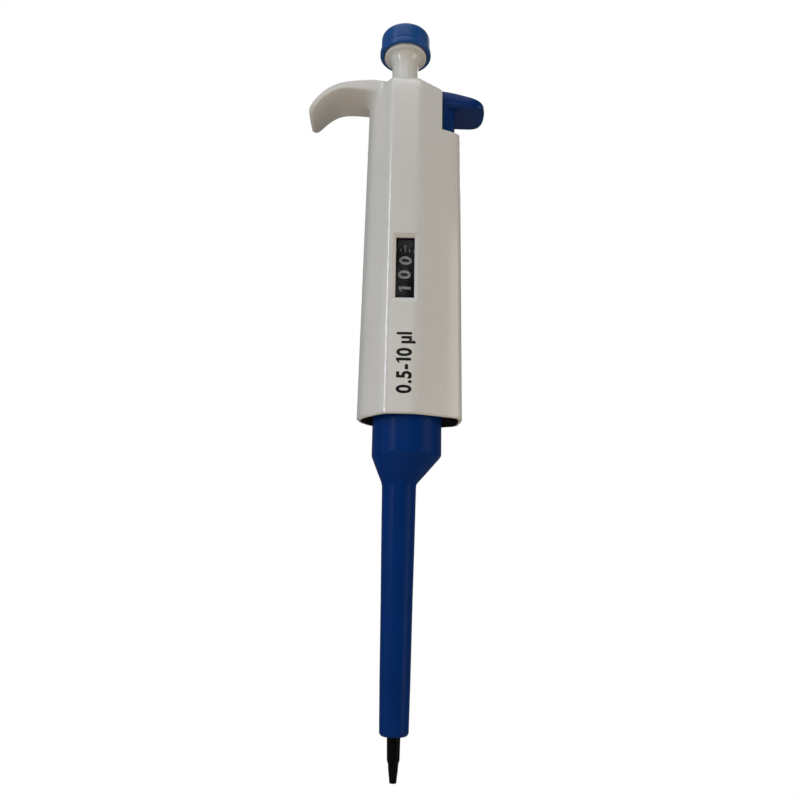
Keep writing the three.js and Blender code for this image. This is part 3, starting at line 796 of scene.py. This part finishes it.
def glyph(letter, weight):
    """One letter's flat shape as points and faces, with its left edge at 0 and its baseline at 0."""
    if letter == "1":
        points = [(x + (weight if x > FIGURE_ONE_MIDDLE else -weight), y) for x, y in FIGURE_ONE]
        faces = [(0, 1, 2, 3, 6), (3, 4, 5, 6)]
    else:
        curve = bpy.data.curves.new("text", "FONT")
        curve.body = letter
        curve.offset = weight
        curve.resolution_u = 5
        obj = bpy.data.objects.new("text", curve)
        bpy.context.scene.collection.objects.link(obj)
        bpy.context.view_layer.update()
        flat = obj.evaluated_get(bpy.context.evaluated_depsgraph_get()).to_mesh()
        points = [(v.co.x, v.co.y) for v in flat.vertices]
        faces = [tuple(p.vertices) for p in flat.polygons]
        bpy.data.objects.remove(obj)
    left = min(x for x, _ in points)
    return [(x - left, y) for x, y in points], faces


def glyphs(text, height, weight=0.0, gap=0.09):
    """Flat text in millimetres, centred on its own middle, as points and faces."""
    points, faces, pen = [], [], 0.0
    for letter in text:
        if letter == " ":
            pen += 2 * gap
            continue
        shape, cells = glyph(letter, weight)
        faces += [tuple(len(points) + i for i in cell) for cell in cells]
        points += [(pen + x, y) for x, y in shape]
        pen += max(x for x, _ in shape) + gap
    scale = height / CAP_HEIGHT
    middle = (pen - gap) / 2
    return [((x - middle) * scale, (y - CAP_HEIGHT / 2) * scale) for x, y in points], faces


def sliced(points, faces, step):
    """A flat mesh cut into strips of that height, so that it can bend round a drum."""
    mesh = bmesh.new()
    made = [mesh.verts.new((x, y, 0)) for x, y in points]
    for face in faces:
        mesh.faces.new([made[i] for i in face])
    low, high = min(y for _, y in points), max(y for _, y in points)
    for k in range(1, int((high - low) / step) + 1):
        everything = mesh.verts[:] + mesh.edges[:] + mesh.faces[:]
        bmesh.ops.bisect_plane(mesh, geom=everything, plane_co=(0, low + k * step, 0), plane_no=(0, 1, 0))
    mesh.verts.index_update()
    result = [(v.co.x, v.co.y) for v in mesh.verts], [tuple(v.index for v in f.verts) for f in mesh.faces]
    mesh.free()
    return result


DIGIT_HEIGHT = 3.9
DIGIT_STRETCH = 1.05
DIGIT_WEIGHT = 0.028
DIGIT_STRIP = 0.35
DIGIT_R = DRUM_R + 0.03
WINDOW_ANGLE = math.radians(6.5)  # the window's middle, from the front towards the ejector
UNITS_SHIFT = math.radians(-2)  # the units drum rests a little off its digit


def on_drum(x, y, angle, z):
    """A flat glyph point on a drum: the glyph's top points to the hook and its right side up."""
    around = angle - y / DIGIT_R
    return DIGIT_R * math.sin(around), -DIGIT_R * math.cos(around), z + x


def number_ring(name, body, z, shown, shift=0.0):
    """The ten digits of a drum, with the shown one in the window at rest."""
    points, faces = [], []
    for step in range(10):
        flat, cells = sliced(*glyphs(str((shown - step) % 10), DIGIT_HEIGHT, DIGIT_WEIGHT), DIGIT_STRIP)
        angle = WINDOW_ANGLE + shift + step * math.tau / 10
        start = len(points)
        points += [on_drum(x * DIGIT_STRETCH, y, angle, z) for x, y in flat]
        faces += [tuple(start + i for i in cell) for cell in cells]
    obj = mesh_object(name, points, faces, 60)
    paint(obj, DIGIT_INK)
    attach(obj, body)


number_ring("tens_digits", "tens_wheel", TENS_Z, 1)
number_ring("units_digits", "units_wheel", TENS_Z + DRUM_PITCH, 0, UNITS_SHIFT)
number_ring("tenths_digits", "spindle", TENS_Z + 2 * DRUM_PITCH, 0)


VERNIER = {"count": 40, "group": 4, "start": -1.9, "long": 2.4, "short": 1.1, "half_width": 0.09}


def vernier_marks():
    """Fine scale lines along the uppermost drum, four to each tenth and the first of them longer."""
    z = TENS_Z + 3 * DRUM_PITCH
    points, faces = [], []
    left, half = VERNIER["start"], VERNIER["half_width"]
    for number in range(VERNIER["count"]):
        right = left + (VERNIER["short"] if number % VERNIER["group"] else VERNIER["long"])
        angle = WINDOW_ANGLE + number * math.tau / VERNIER["count"]
        start = len(points)
        corners = [(left, -half), (right, -half), (right, half), (left, half)]
        points += [on_drum(x, y, angle, z) for x, y in corners]
        faces.append(tuple(range(start, start + 4)))
    obj = mesh_object("vernier_scale", points, faces, 60)
    paint(obj, DIGIT_INK)
    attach(obj, "spindle")


vernier_marks()

PRINT = {
    "text": "0.5-10 µl", "z": 117.9, "x": 1.0, "height": 4.5, "length": 19.0,
    "weight": 0.034, "strip": 0.6, "lift": 0.02,
}


def printed_range():
    """The volume range on the front face, reading upwards, laid on the housing's surface."""
    flat, cells = sliced(*glyphs(PRINT["text"], PRINT["height"], PRINT["weight"]), PRINT["strip"])
    stretch = PRINT["length"] / (max(x for x, _ in flat) - min(x for x, _ in flat))
    points = []
    for x, y in flat:
        place = Vector((PRINT["x"] - y, -20, PRINT["z"] + x * stretch)) * MM
        hit, where, _, _ = shell.ray_cast(place, Vector((0, 1, 0)))
        surface = where.y / MM if hit else FRONT_Y
        points.append((place.x / MM, surface - PRINT["lift"], place.z / MM))
    obj = mesh_object("printed_range", points, cells, 60)
    paint(obj, PRINT_INK)
    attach(obj, "root")


printed_range()


# ---- Floor, light and camera ----

def floor():
    """A round pale floor, well below the pipette, which hangs in the air."""
    count, radius, z = 96, 950, -300
    angles = [math.tau * k / count for k in range(count)]
    points = [(radius * math.cos(a), radius * math.sin(a), z) for a in angles]
    obj = mesh_object("floor", points, [tuple(range(count))])
    nodes = Nodes("floor_paint")
    nodes.link(nodes.ramp(nodes.noise(9, 4), (0.79, 0.70, 0.60), (0.83, 0.74, 0.64)),
               nodes.shader.inputs["Base Color"])
    nodes.link(nodes.span(nodes.noise(40), 0.75, 0.9), nodes.shader.inputs["Roughness"])
    paint(obj, nodes.material)


floor()

# the camera sees plain white, and everything else is lit by a dim, cool sky
world = bpy.data.worlds.new("studio")
world.use_nodes = True
tree = world.node_tree
dim = tree.nodes["Background"]
dim.inputs["Color"].default_value = (0.94, 0.97, 1.0, 1)
dim.inputs["Strength"].default_value = 0.16
bright = tree.nodes.new("ShaderNodeBackground")
bright.inputs["Color"].default_value = (1, 1, 1, 1)
either = tree.nodes.new("ShaderNodeMixShader")
tree.links.new(tree.nodes.new("ShaderNodeLightPath").outputs["Is Camera Ray"], either.inputs["Fac"])
tree.links.new(dim.outputs["Background"], either.inputs[1])
tree.links.new(bright.outputs["Background"], either.inputs[2])
tree.links.new(either.outputs["Shader"], tree.nodes["World Output"].inputs["Surface"])
bpy.context.scene.world = world
bpy.context.scene.view_settings.view_transform = "Standard"

AIM = Vector((0, 0, 0.13))  # every area light points here


def area_light(name, place, size, power, colour):
    data = bpy.data.lights.new(name, "AREA")
    data.shape = "RECTANGLE"
    data.size, data.size_y = size
    data.energy = power
    data.color = colour
    obj = bpy.data.objects.new(name, data)
    obj.location = place
    obj.rotation_euler = (AIM - Vector(place)).to_track_quat("-Z", "Y").to_euler()
    bpy.context.scene.collection.objects.link(obj)


area_light("key", (-0.15, -0.46, 1.0), (1.0, 0.8), 3.3, (1.0, 1.0, 1.0))
area_light("top", (0.0, -0.10, 1.1), (0.6, 0.4), 0.6, (1.0, 1.0, 1.0))
area_light("front_fill", (-0.15, -1.0, 0.42), (0.5, 0.4), 0.7, (1.0, 1.0, 1.0))
area_light("cool_strip", (-0.62, -0.58, 0.36), (0.09, 0.6), 2.6, (0.84, 0.92, 1.0))
area_light("left_fill", (-0.95, -0.25, 0.15), (0.5, 0.9), 0.9, (0.92, 0.96, 1.0))
area_light("warm_side", (0.85, -0.30, 0.15), (0.5, 0.9), 2.8, (1.0, 0.92, 0.79))
area_light("back_fill", (0.15, 0.70, 0.90), (0.8, 0.6), 2.4, (1.0, 0.98, 0.95))
area_light("warm_bounce", (-0.15, -0.45, -0.26), (0.6, 0.4), 0.5, (1.0, 0.60, 0.32))

CAMERA_PLACE = (0.00015, -0.22704, 0.05563)
CAMERA_FORWARD = (0, 0.973, 0.230)
CAMERA_RIGHT = (0.9998, -0.004, 0.017)

camera_data = bpy.data.cameras.new("camera")
camera_data.sensor_width = 36
camera_data.lens = 33.75
camera_data.clip_start = 0.01
camera = bpy.data.objects.new("camera", camera_data)
bpy.context.scene.collection.objects.link(camera)
bpy.context.scene.camera = camera
forward = Vector(CAMERA_FORWARD).normalized()
right = Vector(CAMERA_RIGHT)
right = (right - forward * right.dot(forward)).normalized()
up = right.cross(forward)
turn = Matrix((right, up, -forward)).transposed().to_4x4()
camera.matrix_world = Matrix.Translation(CAMERA_PLACE) @ turn
